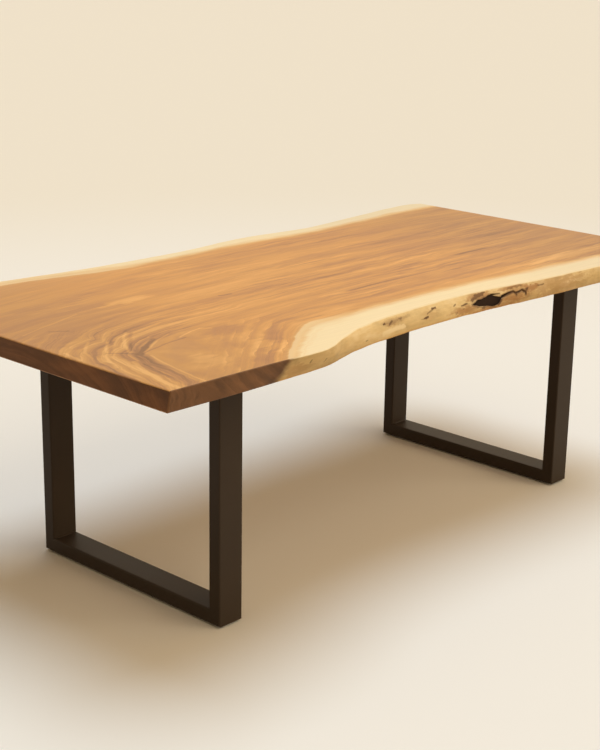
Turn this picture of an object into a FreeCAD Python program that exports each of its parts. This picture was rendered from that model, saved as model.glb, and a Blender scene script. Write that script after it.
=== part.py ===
import FreeCAD, Part
import math
import os

import Sketcher

# Live edge dining table: one hardwood slab on two U frames of rectangular steel tube.
# Millimetres, +X along the table, +Y to the back, +Z up, origin on the floor under the slab's middle.
# The front (-Y) is the long side with the filled bark void, and the left end is -X.

# Driving dimensions: name, value, meaning
SIZES = (
    ("slab_length", 2200, "slab from end to end"),
    ("table_height", 750, "floor to the top of the slab"),
    ("slab_thick", 55, "slab from underside to top"),
    ("frame_wide", 720, "U frame from outside to outside, across the table"),
    ("frame_setback", 324, "slab end to the outer face of its frame"),
    ("frame_shift", -12, "middle of the frames, across the table"),
    ("tube_deep", 80, "frame tube along the table"),
    ("tube_slim", 40, "frame tube in the plane of the U"),
    ("tube_wall", 2.5, "wall of the frame tube"),
    ("tube_round", 4, "outer corner radius of the frame tube"),
    ("plate_thick", 6, "flat bar across the top of a frame"),
    ("plate_round", 5, "corner radius of that bar"),
    ("screw_pitch", 270, "plate screws, across the table"),
    ("slot_radius", 4.5, "half the width of the plate's slots"),
    ("slot_travel", 8, "room each way for the slab to swell across its grain"),
    ("screw_flange_radius", 8.9, "flange under the head of an M8 screw"),
    ("screw_flange_thick", 1.8, "thickness of that flange"),
    ("screw_head_across", 13, "hexagon head, across its flats"),
    ("screw_head_high", 6.2, "head under the flange"),
    ("screw_radius", 3.9, "threaded shank of the screw"),
    ("screw_long", 25, "screw above its flange"),
    ("insert_radius", 6.25, "threaded insert in the slab"),
    ("insert_long", 20, "length of the insert"),
    ("insert_bore", 4, "radius of its thread"),
    ("insert_room", 0.1, "gap round an insert in its hole"),
    ("insert_depth", 22, "depth of that hole"),
    ("foot_gap", 6, "floor to the underside of a rail"),
    ("foot_inset", 32, "frame's outer face to the axis of a foot"),
    ("foot_play", 0.3, "gap over a foot that is screwed right in"),
    ("pad_across", 34, "hexagon foot pad, across its flats"),
    ("stud_radius", 3.95, "threaded stud of a foot"),
    ("stud_long", 24, "stud above its pad"),
    ("stud_sunk", 4, "stud inside its pad"),
    ("stud_room", 0.05, "gap round the stud in its pad"),
    ("stud_way", 4.5, "hole for the stud through the rail's wall"),
    ("nut_across", 16, "square weld nut in a rail, across its flats"),
    ("nut_high", 7, "height of that nut"),
    ("nut_bore", 4.02, "radius of its thread"),
    ("void_left", 108, "left tip of the bark void in the front edge"),
    ("void_right", 244, "its right end"),
    ("void_waist", 27, "height of both ends above the underside"),
    ("void_arch", 198, "radius of its arched top"),
    ("void_low_left", 152, "where its floor starts"),
    ("void_low_right", 222, "where its floor ends"),
    ("void_floor", 9, "lowest of the void above the underside"),
    ("void_lean", 14, "lean of the resin's face along the slope of the edge, in degrees"),
    ("resin_face", 464, "resin's face at the level of the underside, from the middle of the table"),
    ("resin_deep", 14, "depth of the resin behind its face"),
    ("void_mouth", 20, "void's cutting shape in front of the resin's face"),
    ("cut_margin", 5, "how far other cutting shapes pass the faces they cut"),
)

# Control points of the live edges: along the table, out from its middle, how far the underside is
# drawn in below the top, and how far the edge swells between them. The ends lie on the slab's ends.
FRONT_EDGE = (
    ("end", 560, 12, 0),
    (-900, 562, 9, 0),
    (-720, 559, 13, 0),
    (-620, 576, 34, 3),
    (-545, 543, 7, 6),
    (-440, 494, 0, 6),
    (-300, 456, -20, 6),
    (-100, 445, -17, 6),
    (100, 436, -25, 5),
    (300, 462, -11, 6),
    (480, 486, -4, 6),
    (700, 491, 3, 6),
    ("end", 525, 10, 6),
)
BACK_EDGE = (
    ("end", 567, 0, 4),
    (-800, 547, 4, 6),
    (-560, 509, 0, 6),
    (-320, 500, -8, 6),
    (-60, 498, -14, 6),
    (110, 531, -6, 6),
    (280, 523, -10, 6),
    (440, 495, -16, 6),
    (620, 524, -8, 6),
    (850, 548, 0, 6),
    (1040, 576, 5, 6),
    ("end", 546, 3, 4),
)
EDGES = {"front": (FRONT_EDGE, -1), "back": (BACK_EDGE, 1)}
EDGE_COLUMNS = ("along", "out", "undercut", "belly")
SPLINE_DEGREE = 3

# Frames and their posts: name and side along or across the table
ENDS = (("left", -1), ("right", 1))
SIDES = (("front", -1), ("back", 1))
SCREW_ROW = 3
HEXAGON = 6
UPRIGHT = FreeCAD.Vector(0, 0, 1)
LENGTHWISE = FreeCAD.Vector(1, 0, 0)

# Places that several pieces share
SLAB_BASE = "(Sizes.table_height - Sizes.slab_thick)"
PLATE_BASE = f"({SLAB_BASE} - Sizes.plate_thick)"
FRAME_MIDDLE = "(Sizes.slab_length / 2 - Sizes.frame_setback - Sizes.tube_deep / 2)"
PAD_HIGH = "(Sizes.foot_gap - Sizes.foot_play)"
FOOT_REACH = "(Sizes.frame_wide / 2 - Sizes.foot_inset)"

doc = FreeCAD.newDocument("live_edge_table")
sheet = doc.addObject("Spreadsheet::Sheet", "Sizes")


def fill_sheet():
    """Write the driving dimensions and the live edges' control points into the sheet."""
    rows = list(SIZES)
    for edge, (points, side) in EDGES.items():
        for number, point in enumerate(points):
            for column, size in zip(EDGE_COLUMNS, point):
                if size != "end":
                    rows.append((f"{edge}_{column}_{number}", size, f"{edge} edge, point {number}"))
    for row, (name, size, meaning) in enumerate(rows, start=1):
        sheet.set(f"A{row}", name)
        sheet.set(f"B{row}", str(size))
        sheet.set(f"C{row}", meaning)
        sheet.setAlias(f"B{row}", name)
    doc.recompute()


def number_of(expression):
    """Present value of an expression over the sheet."""
    return float(sheet.evalExpression(expression))


def origin_feature(body, role):
    """One of the planes or axes of a body's own origin."""
    return next(f for f in body.Origin.OriginFeatures if f.Role == role)


def new_body(label):
    body = doc.addObject("PartDesign::Body", label)
    body.Label = label
    return body


def put(thing, along="0", across="0", up="0", axis=UPRIGHT, turn="0"):
    """Place a piece, turned about an axis through it, at a point tied to the sheet."""
    thing.Placement = FreeCAD.Placement(FreeCAD.Vector(), FreeCAD.Rotation(axis, number_of(turn)))
    thing.setExpression("Placement.Rotation.Angle", turn)
    for letter, expression in zip("xyz", (along, across, up)):
        thing.setExpression(f"Placement.Base.{letter}", expression)


def new_sketch(body, name, role, offset="0"):
    """A sketch on one of the body's origin planes, moved along the plane's normal."""
    sketch = body.newObject("Sketcher::SketchObject", name)
    sketch.AttachmentSupport = [(origin_feature(body, role), "")]
    sketch.MapMode = "FlatFace"
    sketch.setExpression("AttachmentOffset.Base.z", offset)
    return sketch


def bind(sketch, constraint, expression):
    """Add one dimension to a sketch and tie it to the sheet."""
    index = sketch.addConstraint(constraint)
    sketch.setExpression(f"Constraints[{index}]", expression)


def pin_point(sketch, geometry, position, x, y):
    """Tie a point of a sketch to two expressions."""
    bind(sketch, Sketcher.Constraint("DistanceX", -1, 1, geometry, position, number_of(x)), x)
    bind(sketch, Sketcher.Constraint("DistanceY", -1, 1, geometry, position, number_of(y)), y)


def point_of(x, y):
    return FreeCAD.Vector(number_of(x), number_of(y), 0)


def draw_polygon(sketch, corners):
    """Closed outline of straight lines through corners given as pairs of expressions."""
    spots = [point_of(x, y) for x, y in corners]
    lines = []
    for start, end in zip(spots, spots[1:] + spots[:1]):
        lines.append(sketch.addGeometry(Part.LineSegment(start, end), False))
    for line, following, corner in zip(lines, lines[1:] + lines[:1], corners):
        sketch.addConstraint(Sketcher.Constraint("Coincident", line, 2, following, 1))
        pin_point(sketch, line, 1, *corner)


def draw_hexagon(sketch, across):
    """Hexagon about the sketch's origin, of a width across its flats."""
    angles = [2 * math.pi * corner / HEXAGON for corner in range(HEXAGON)]
    corners = []
    for angle in angles:
        x, y = math.cos(angle) / math.sqrt(3), math.sin(angle) / math.sqrt(3)
        corners.append((f"{across} * {x:.6f}", f"{across} * {y:.6f}"))
    draw_polygon(sketch, corners)


def draw_circle(sketch, x, y, radius):
    circle = Part.Circle(point_of(x, y), UPRIGHT, number_of(radius))
    index = sketch.addGeometry(circle, False)
    pin_point(sketch, index, 3, x, y)
    bind(sketch, Sketcher.Constraint("Radius", index, number_of(radius)), radius)


def draw_rounded(sketch, centres, radius):
    """Belt round equal circles: an arc about each centre in turn, joined by straight sides."""
    spots = [point_of(x, y) for x, y in centres]
    sides = [end - start for start, end in zip(spots, spots[1:] + spots[:1])]
    outward = [math.atan2(side.y, side.x) - math.pi / 2 for side in sides]
    arcs = []
    for centre, spot, arrive, leave in zip(centres, spots, outward[-1:] + outward[:-1], outward):
        circle = Part.Circle(spot, UPRIGHT, number_of(radius))
        sweep = (leave - arrive) % (2 * math.pi)
        arc = sketch.addGeometry(Part.ArcOfCircle(circle, arrive, arrive + sweep), False)
        pin_point(sketch, arc, 3, *centre)
        bind(sketch, Sketcher.Constraint("Radius", arc, number_of(radius)), radius)
        arcs.append(arc)
    for arc, following in zip(arcs, arcs[1:] + arcs[:1]):
        straight = Part.LineSegment(sketch.getPoint(arc, 2), sketch.getPoint(following, 1))
        side = sketch.addGeometry(straight, False)
        sketch.addConstraint(Sketcher.Constraint("Tangent", arc, 2, side, 1))
        sketch.addConstraint(Sketcher.Constraint("Tangent", side, 2, following, 1))


def draw_rounded_box(sketch, left, low, right, high, radius):
    near, far = f"{left} + {radius}", f"{right} - {radius}"
    under, over = f"{low} + {radius}", f"{high} - {radius}"
    draw_rounded(sketch, ((near, under), (far, under), (far, over), (near, over)), radius)


def draw_spline(sketch, points):
    """Free curve steered by control points, each one tied to the sheet."""
    spots = [point_of(x, y) for x, y in points]
    curve = Part.BSplineCurve(spots, None, None, False, SPLINE_DEGREE, None, False)
    spline = sketch.addGeometry(curve, False)
    handles = []
    for number, (spot, point) in enumerate(zip(spots, points)):
        handle = sketch.addGeometry(Part.Circle(spot, UPRIGHT, 1), True)
        inside = "InternalAlignment:Sketcher::BSplineControlPoint"
        sketch.addConstraint(Sketcher.Constraint(inside, handle, 3, spline, number))
        if handles:
            sketch.addConstraint(Sketcher.Constraint("Equal", handles[0], handle))
        else:
            sketch.addConstraint(Sketcher.Constraint("Weight", handle, 1.0))
        pin_point(sketch, handle, 3, *point)
        handles.append(handle)
    return spline


def extrude(body, sketch, length, both_ways=False):
    pad = body.newObject("PartDesign::Pad", f"{sketch.Name}_pad")
    pad.Profile = sketch
    pad.setExpression("Length", length)
    if both_ways:
        pad.SideType = "Symmetric"
    doc.recompute()
    return pad


def cut(body, sketch, depth, both_ways=False):
    """Pocket that runs along the sketch's normal, or both ways, and must take material off."""
    before = body.Shape.Volume
    pocket = body.newObject("PartDesign::Pocket", f"{sketch.Name}_cut")
    pocket.Profile = sketch
    pocket.setExpression("Length", depth)
    if both_ways:
        pocket.SideType = "Symmetric"
    else:
        pocket.Reversed = True
    doc.recompute()
    if not pocket.Shape.Volume < before:
        raise RuntimeError(f"{pocket.Name} cuts nothing")
    return pocket


def repeat(body, originals, length, count):
    """A row of separate copies of one piece, across the table."""
    body.AllowCompound = True
    pattern = body.newObject("PartDesign::LinearPattern", f"{body.Name}_row")
    pattern.Originals = originals
    pattern.Direction = (origin_feature(body, "Y_Axis"), [""])
    pattern.setExpression("Length", length)
    pattern.Occurrences = count
    body.Tip = pattern
    doc.recompute()


def live_edge_points(edge, level):
    """Control points of a live edge at one level of the slab, as expressions."""
    points, side = EDGES[edge]
    spots = []
    for number, point in enumerate(points):
        size = {name: f"Sizes.{edge}_{name}_{number}" for name in EDGE_COLUMNS}
        along = size["along"]
        if point[0] == "end":
            along = f"{'-' if number == 0 else ''}Sizes.slab_length / 2"
        out = {
            "underside": f"{size['out']} - {size['undercut']}",
            "belly": f"{size['out']} - {size['undercut']} / 2 + {size['belly']}",
            "top": size["out"],
        }[level]
        spots.append((along, f"{side} * ({out})"))
    return spots


def make_slab_blank():
    """Slab lofted through its underside, the swell of its edges and its top, with holes for inserts."""
    body = new_body("slab_blank")
    levels = (("underside", "0"), ("belly", "Sizes.slab_thick / 2"), ("top", "Sizes.slab_thick"))
    outlines = []
    for level, height in levels:
        sketch = new_sketch(body, f"outline_{level}", "XY_Plane", height)
        front = draw_spline(sketch, live_edge_points("front", level))
        back = draw_spline(sketch, live_edge_points("back", level))
        for position in (1, 2):
            start = sketch.getPoint(front, position)
            end = sketch.getPoint(back, position)
            saw_cut = sketch.addGeometry(Part.LineSegment(start, end), False)
            sketch.addConstraint(Sketcher.Constraint("Coincident", saw_cut, 1, front, position))
            sketch.addConstraint(Sketcher.Constraint("Coincident", saw_cut, 2, back, position))
        outlines.append(sketch)
    doc.recompute()
    loft = body.newObject("PartDesign::AdditiveLoft", "live_edges")
    loft.Profile = outlines[0]
    loft.Sections = outlines[1:]
    doc.recompute()
    holes = new_sketch(body, "insert_holes", "XY_Plane")
    for end_name, end_side in ENDS:
        for across in screw_row():
            along = f"{end_side} * {FRAME_MIDDLE}"
            radius = "Sizes.insert_radius + Sizes.insert_room"
            draw_circle(holes, along, f"Sizes.frame_shift + {across}", radius)
    cut(body, holes, "Sizes.insert_depth")
    put(body, up=SLAB_BASE)
    return body


def screw_row():
    """Places of one plate's screws across the table, from the middle of the frame."""
    return [f"{place - (SCREW_ROW - 1) / 2} * Sizes.screw_pitch" for place in range(SCREW_ROW)]


def make_void_body(label, depth):
    """Almond with an arched top, from the bottom of the bark void outwards, leaning as the edge does."""
    body = new_body(label)
    sketch = new_sketch(body, f"{label}_outline", "XZ_Plane", "-Sizes.resin_deep")
    corners = (
        ("Sizes.void_left", "Sizes.void_waist"),
        ("Sizes.void_low_left", "Sizes.void_floor"),
        ("Sizes.void_low_right", "Sizes.void_floor"),
        ("Sizes.void_right", "Sizes.void_waist"),
    )
    spots = [point_of(*corner) for corner in corners]
    lines = [sketch.addGeometry(Part.LineSegment(a, b), False) for a, b in zip(spots, spots[1:])]
    radius = number_of("Sizes.void_arch")
    half = (spots[-1] - spots[0]).Length / 2
    drop = math.sqrt(radius**2 - half**2)
    centre = FreeCAD.Vector((spots[0].x + spots[-1].x) / 2, spots[0].y - drop, 0)
    lean = math.acos(half / radius)
    circle = Part.Circle(centre, UPRIGHT, radius)
    arch = sketch.addGeometry(Part.ArcOfCircle(circle, lean, math.pi - lean), False)
    for line, corner in zip(lines, corners):
        pin_point(sketch, line, 1, *corner)
    pin_point(sketch, lines[-1], 2, *corners[-1])
    for line, following in zip(lines, lines[1:]):
        sketch.addConstraint(Sketcher.Constraint("Coincident", line, 2, following, 1))
    sketch.addConstraint(Sketcher.Constraint("Coincident", arch, 1, lines[-1], 2))
    sketch.addConstraint(Sketcher.Constraint("Coincident", arch, 2, lines[0], 1))
    bind(sketch, Sketcher.Constraint("Radius", arch, radius), "Sizes.void_arch")
    extrude(body, sketch, depth)
    put(body, "0", "-Sizes.resin_face", SLAB_BASE, LENGTHWISE, "-Sizes.void_lean")
    return body


def make_slab_top():
    """The slab with its bark void, and the resin that fills most of the void's depth."""
    piece = doc.addObject("Part::Cut", "slab_top")
    piece.Label = "slab_top"
    piece.Base = make_slab_blank()
    piece.Tool = make_void_body("void_form", "Sizes.resin_deep + Sizes.void_mouth")
    pieces.append(piece)
    pieces.append(make_void_body("resin_fill", "Sizes.resin_deep"))
    doc.recompute()


def draw_tube(sketch, low):
    """Section of the frame tube: its rounded outside, and its inside."""
    half = "Sizes.tube_deep / 2"
    wall = "Sizes.tube_wall"
    high = f"{low} + Sizes.tube_slim"
    draw_rounded_box(sketch, f"-{half}", low, half, high, "Sizes.tube_round")
    left, right = f"-{half} + {wall}", f"{half} - {wall}"
    under, over = f"{low} + {wall}", f"{high} - {wall}"
    draw_polygon(sketch, ((left, under), (right, under), (right, over), (left, over)))


def make_post(end, side):
    """Upright tube, mitred at its foot to meet the rail."""
    end_name, end_side = end
    side_name, side_sign = side
    body = new_body(f"{end_name}_{side_name}_post")
    section = new_sketch(body, f"{body.Name}_section", "XY_Plane")
    draw_tube(section, "0")
    extrude(body, section, f"{PLATE_BASE} - Sizes.foot_gap")
    mitre = new_sketch(body, f"{body.Name}_mitre", "YZ_Plane")
    start = "-Sizes.cut_margin"
    stop = "Sizes.tube_slim + Sizes.cut_margin"
    draw_polygon(mitre, ((start, start), (stop, start), (stop, stop)))
    cut(body, mitre, "2 * Sizes.tube_deep", both_ways=True)
    across = f"Sizes.frame_shift + {side_sign} * Sizes.frame_wide / 2"
    turn = "0" if side_sign < 0 else "180"
    put(body, f"{end_side} * {FRAME_MIDDLE}", across, "Sizes.foot_gap", UPRIGHT, turn)
    pieces.append(body)


def make_rail(end):
    """Floor tube between the posts, mitred at both ends and drilled for its two feet."""
    end_name, end_side = end
    body = new_body(f"{end_name}_foot_rail")
    section = new_sketch(body, f"{body.Name}_section", "XZ_Plane")
    draw_tube(section, "0")
    extrude(body, section, "Sizes.frame_wide", both_ways=True)
    mitre = new_sketch(body, f"{body.Name}_mitre", "YZ_Plane")
    holes = new_sketch(body, f"{body.Name}_holes", "XY_Plane")
    low = "-Sizes.cut_margin"
    high = "Sizes.tube_slim + Sizes.cut_margin"
    for side_name, sign in SIDES:
        outer = f"{sign} * (Sizes.frame_wide / 2 + Sizes.cut_margin)"
        inner = f"{sign} * (Sizes.frame_wide / 2 - Sizes.tube_slim - Sizes.cut_margin)"
        draw_polygon(mitre, ((outer, low), (outer, high), (inner, high)))
        draw_circle(holes, "0", f"{sign} * {FOOT_REACH}", "Sizes.stud_way")
    cut(body, mitre, "2 * Sizes.tube_deep", both_ways=True)
    cut(body, holes, "2 * Sizes.tube_wall")
    put(body, f"{end_side} * {FRAME_MIDDLE}", "Sizes.frame_shift", "Sizes.foot_gap")
    pieces.append(body)


def make_plate(end):
    """Flat bar on the posts, with slots that let the slab swell and shrink across its grain."""
    end_name, end_side = end
    body = new_body(f"{end_name}_top_plate")
    sketch = new_sketch(body, f"{body.Name}_outline", "XY_Plane")
    half = "Sizes.tube_deep / 2"
    reach = "Sizes.frame_wide / 2"
    draw_rounded_box(sketch, f"-{half}", f"-{reach}", half, reach, "Sizes.plate_round")
    for across in screw_row():
        ends = (("0", f"{across} - Sizes.slot_travel"), ("0", f"{across} + Sizes.slot_travel"))
        draw_rounded(sketch, ends, "Sizes.slot_radius")
    extrude(body, sketch, "Sizes.plate_thick")
    put(body, f"{end_side} * {FRAME_MIDDLE}", "Sizes.frame_shift", PLATE_BASE)
    pieces.append(body)


def put_row(body, end_side, originals, up):
    """Repeat a fastener under every slot of one plate."""
    repeat(body, originals, f"{SCREW_ROW - 1} * Sizes.screw_pitch", SCREW_ROW)
    put(body, f"{end_side} * {FRAME_MIDDLE}", f"Sizes.frame_shift + {screw_row()[0]}", up)
    pieces.append(body)


def make_screws(end):
    """Hexagon head screws with flanges, heads down."""
    end_name, end_side = end
    body = new_body(f"{end_name}_plate_screws")
    under = "-Sizes.screw_flange_thick"
    outline = new_sketch(body, f"{body.Name}_head", "XY_Plane", f"{under} - Sizes.screw_head_high")
    draw_hexagon(outline, "Sizes.screw_head_across")
    features = [extrude(body, outline, "Sizes.screw_head_high")]
    flange = new_sketch(body, f"{body.Name}_flange", "XY_Plane", under)
    draw_circle(flange, "0", "0", "Sizes.screw_flange_radius")
    features.append(extrude(body, flange, "Sizes.screw_flange_thick"))
    shank = new_sketch(body, f"{body.Name}_shank", "XY_Plane")
    draw_circle(shank, "0", "0", "Sizes.screw_radius")
    features.append(extrude(body, shank, "Sizes.screw_long"))
    put_row(body, end_side, features, PLATE_BASE)


def make_inserts(end):
    """Threaded inserts that the screws bite in, flush with the slab's underside."""
    end_name, end_side = end
    body = new_body(f"{end_name}_threaded_inserts")
    sketch = new_sketch(body, f"{body.Name}_ring", "XY_Plane")
    draw_circle(sketch, "0", "0", "Sizes.insert_radius")
    draw_circle(sketch, "0", "0", "Sizes.insert_bore")
    ring = extrude(body, sketch, "Sizes.insert_long")
    put_row(body, end_side, [ring], SLAB_BASE)


def make_foot_nuts(end):
    """Square weld nuts on the floor of the rail, which the feet screw into."""
    end_name, end_side = end
    body = new_body(f"{end_name}_foot_nuts")
    sketch = new_sketch(body, f"{body.Name}_outline", "XY_Plane")
    half = "Sizes.nut_across / 2"
    draw_polygon(sketch, ((f"-{half}", f"-{half}"), (half, f"-{half}"), (half, half), (f"-{half}", half)))
    draw_circle(sketch, "0", "0", "Sizes.nut_bore")
    nut = extrude(body, sketch, "Sizes.nut_high")
    repeat(body, [nut], f"2 * {FOOT_REACH}", len(SIDES))
    along = f"{end_side} * {FRAME_MIDDLE}"
    put(body, along, f"Sizes.frame_shift - {FOOT_REACH}", "Sizes.foot_gap + Sizes.tube_wall")
    pieces.append(body)


def make_foot(end, side):
    """Levelling foot: a hexagon pad of plastic, and the threaded stud that is sunk in it."""
    end_name, end_side = end
    side_name, side_sign = side
    along = f"{end_side} * {FRAME_MIDDLE}"
    across = f"Sizes.frame_shift + {side_sign} * {FOOT_REACH}"
    seat = f"{PAD_HIGH} - Sizes.stud_sunk"
    pad = new_body(f"{end_name}_{side_name}_foot_pad")
    outline = new_sketch(pad, f"{pad.Name}_outline", "XY_Plane")
    draw_hexagon(outline, "Sizes.pad_across")
    extrude(pad, outline, PAD_HIGH)
    hole = new_sketch(pad, f"{pad.Name}_hole", "XY_Plane", seat)
    draw_circle(hole, "0", "0", "Sizes.stud_radius + Sizes.stud_room")
    cut(pad, hole, "Sizes.stud_sunk + Sizes.cut_margin")
    put(pad, along, across)
    stud = new_body(f"{end_name}_{side_name}_foot_stud")
    section = new_sketch(stud, f"{stud.Name}_section", "XY_Plane")
    draw_circle(section, "0", "0", "Sizes.stud_radius")
    extrude(stud, section, "Sizes.stud_sunk + Sizes.stud_long")
    put(stud, along, across, seat)
    pieces.extend((pad, stud))


def write_parts():
    """Check every object and every piece, then write one file for each piece."""
    doc.recompute()
    for thing in doc.Objects:
        if "Invalid" in thing.State or "Error" in thing.State:
            raise RuntimeError(f"{thing.Name} failed: {thing.State}")
    for piece in pieces:
        if piece.Shape.isNull() or not piece.Shape.isValid():
            raise RuntimeError(f"{piece.Label} has no valid shape")
    os.makedirs("parts", exist_ok=True)
    for piece in pieces:
        piece.Shape.exportStep(f"parts/{piece.Label}.step")
        print(piece.Label, len(piece.Shape.Solids), round(piece.Shape.Volume))


pieces = []
fill_sheet()
make_slab_top()
for frame_end in ENDS:
    make_rail(frame_end)
    make_plate(frame_end)
    make_screws(frame_end)
    make_inserts(frame_end)
    make_foot_nuts(frame_end)
    for frame_side in SIDES:
        make_post(frame_end, frame_side)
        make_foot(frame_end, frame_side)
write_parts()
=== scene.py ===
"""Looks of a live edge dining table: a slab with sapwood edges and a filled bark void, on tube frames.

Metres, in the frame of the CAD model: +X along the table, +Y to the back, +Z up.
"""
import math

import bpy
import numpy as np
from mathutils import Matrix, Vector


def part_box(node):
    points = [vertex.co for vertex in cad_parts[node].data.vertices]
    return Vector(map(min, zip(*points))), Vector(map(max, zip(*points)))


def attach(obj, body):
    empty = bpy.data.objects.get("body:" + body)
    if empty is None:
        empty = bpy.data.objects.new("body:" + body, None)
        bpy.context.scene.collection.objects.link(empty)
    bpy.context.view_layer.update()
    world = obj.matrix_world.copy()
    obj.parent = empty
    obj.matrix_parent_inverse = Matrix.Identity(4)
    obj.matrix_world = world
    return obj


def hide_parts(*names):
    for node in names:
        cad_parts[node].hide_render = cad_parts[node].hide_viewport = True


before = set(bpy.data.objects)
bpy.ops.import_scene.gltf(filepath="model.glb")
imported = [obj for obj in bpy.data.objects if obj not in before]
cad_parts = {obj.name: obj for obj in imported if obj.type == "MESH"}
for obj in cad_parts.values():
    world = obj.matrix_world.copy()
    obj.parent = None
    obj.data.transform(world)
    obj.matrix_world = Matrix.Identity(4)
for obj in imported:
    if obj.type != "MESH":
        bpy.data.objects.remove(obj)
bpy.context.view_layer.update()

bl_info = {
    "name": "Live Edge Table",
    "version": (1, 0, 0),
    "blender": (4, 5, 0),
    "location": "View3D > Sidebar > Table",
    "description": "Dresses a live edge dining table and sets it on a studio floor",
    "category": "Object",
}

MM = 0.001
ENDS = ("left", "right")
SIDES = ("front", "back")
SLAB_LOW, SLAB_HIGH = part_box("slab_top")
SLAB_BASE = SLAB_LOW.z
SLAB_THICK = SLAB_HIGH.z - SLAB_LOW.z
HALF_LENGTH = SLAB_HIGH.x

# Control points of the live edges in millimetres: along the table, out from its middle, how far the
# underside is drawn in below the top, and how far the edge swells between them
FRONT_EDGE = (
    (-1100, 560, 12, 0),
    (-900, 562, 9, 0),
    (-720, 559, 13, 0),
    (-620, 576, 34, 3),
    (-545, 543, 7, 6),
    (-440, 494, 0, 6),
    (-300, 456, -20, 6),
    (-100, 445, -17, 6),
    (100, 436, -25, 5),
    (300, 462, -11, 6),
    (480, 486, -4, 6),
    (700, 491, 3, 6),
    (1100, 525, 10, 6),
)
BACK_EDGE = (
    (-1100, 567, 0, 4),
    (-800, 547, 4, 6),
    (-560, 509, 0, 6),
    (-320, 500, -8, 6),
    (-60, 498, -14, 6),
    (110, 531, -6, 6),
    (280, 523, -10, 6),
    (440, 495, -16, 6),
    (620, 524, -8, 6),
    (850, 548, 0, 6),
    (1040, 576, 5, 6),
    (1100, 546, 3, 4),
)
SPLINE_DEGREE = 3
SPLINE_STEPS = 4000
SPLINE_END = 1 - 1e-9

# Where the sapwood starts in millimetres: along the table, and out from its middle
FRONT_SAPWOOD = (
    (-1100, 900),
    (-800, 640),
    (-720, 566),
    (-660, 520),
    (-610, 480),
    (-560, 440),
    (-510, 406),
    (-460, 384),
    (-400, 380),
    (-300, 375),
    (-150, 362),
    (0, 361),
    (200, 369),
    (400, 384),
    (600, 391),
    (800, 410),
    (1100, 446),
)
BACK_SAPWOOD = (
    (-1100, 546),
    (-775, 515),
    (-600, 494),
    (-480, 464),
    (-360, 448),
    (-109, 446),
    (80, 470),
    (240, 452),
    (357, 444),
    (575, 458),
    (924, 488),
    (1100, 484),
)

# Outline of the bark void in the front edge in millimetres: along the table, above the underside
VOID_ROOF = (
    (108, 25.2),
    (131, 31.8),
    (162, 36.5),
    (188, 39),
    (203, 37.5),
    (213, 32.5),
    (232, 29.5),
    (244, 30.6),
)
VOID_FLOOR = (
    (108, 25.2),
    (122, 20.5),
    (138, 16.7),
    (180, 11),
    (205, 7.8),
    (213, 8),
    (221, 11),
    (226, 15),
    (234, 24),
    (244, 30),
)
VOID_START = VOID_ROOF[0][0] * MM
VOID_END = VOID_ROOF[-1][0] * MM

# Cracks that run out of the void in millimetres: along the table, above the underside, half the
# width, and the depth as a share of the void's
VOID_CRACKS = (
    ((182, 38.0, 2.2, 0.8), (206, 38.4, 1.5, 0.7), (230, 38.9, 0.4, 0.4)),
    (
        (236, 29.0, 3.4, 0.9),
        (257, 32.9, 2.7, 0.8),
        (272, 35.5, 1.8, 0.45),
        (285, 37.0, 1.3, 0.3),
        (295, 31.8, 1.4, 0.3),
        (303, 32.0, 1.7, 0.35),
        (310, 32.9, 2.1, 0.4),
        (323, 35.2, 2.0, 0.35),
        (334, 30.4, 1.7, 0.3),
        (344, 37.0, 0.7, 0.2),
    ),
    ((297.7, 31.6, 1.2, 0.3), (297.7, 25.6, 0.7, 0.2)),
    ((335.5, 30.4, 1.2, 0.3), (335.5, 21.1, 0.7, 0.2)),
)

# Walls of the void and of its cracks, and how far round them the wood is darkened
VOID_WALL = (-0.4 * MM, 2.2 * MM)
VOID_RIM = 7.0 * MM
CRACK_WALL = 0.8 * MM
CRACK_RIM = 5.0 * MM

# How ragged the void's outline is, and the shares of that in its cracks, along and up
RAGGED = 0.6 * MM
RAGGED_CRACKS = (1.6, 0.7)

# Waves of the natural surface: shortest and longest, most turns to a metre of height, and how many
RAGGED_WAVES = ((16 * MM, 50 * MM), 30, 9)
SLOW_WAVES = ((60 * MM, 200 * MM), 12, 10)
QUICK_WAVES = ((14 * MM, 45 * MM), 40, 14)
QUICK_SHARE = 0.2
VOID_SEED = 5
FRONT_SEEDS = (1, 2)
BACK_SEEDS = (3, 4)

# Along the front edge, where its sawn part ends and where it is all natural
SAWN_END = -0.72
LIVE_START = -0.58


# Numpy shapes


def spline_weights(shares, count):
    """Weights of the control points of a clamped uniform spline, by the recursion over its knots."""
    inner = np.linspace(0, 1, count - SPLINE_DEGREE + 1)
    knots = np.concatenate([np.zeros(SPLINE_DEGREE), inner, np.ones(SPLINE_DEGREE)])
    share = np.clip(shares, 0, SPLINE_END)[:, None]
    weights = ((knots[:-1] <= share) & (share < knots[1:])).astype(float)
    for degree in range(1, SPLINE_DEGREE + 1):
        rise = knots[degree:-1] - knots[: -degree - 1]
        fall = knots[degree + 1 :] - knots[1:-degree]
        rise = np.where(rise > 0, rise, np.inf)
        fall = np.where(fall > 0, fall, np.inf)
        rising = (share - knots[: -degree - 1]) / rise * weights[:, :-1]
        weights = rising + (knots[degree + 1 :] - share) / fall * weights[:, 1:]
    return weights


def follow(points, along):
    """Smooth line steered by control points, read at places along the table."""
    handles = np.array(points, float) * MM
    line = spline_weights(np.linspace(0, 1, SPLINE_STEPS), len(handles)) @ handles
    return [np.interp(along, line[:, 0], column) for column in line.T[1:]]


def smoothstep(low, high, value):
    """Nought below low and one above high, with an even start and end."""
    share = np.clip((value - low) / (high - low), 0, 1)
    return share * share * (3 - 2 * share)


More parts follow.
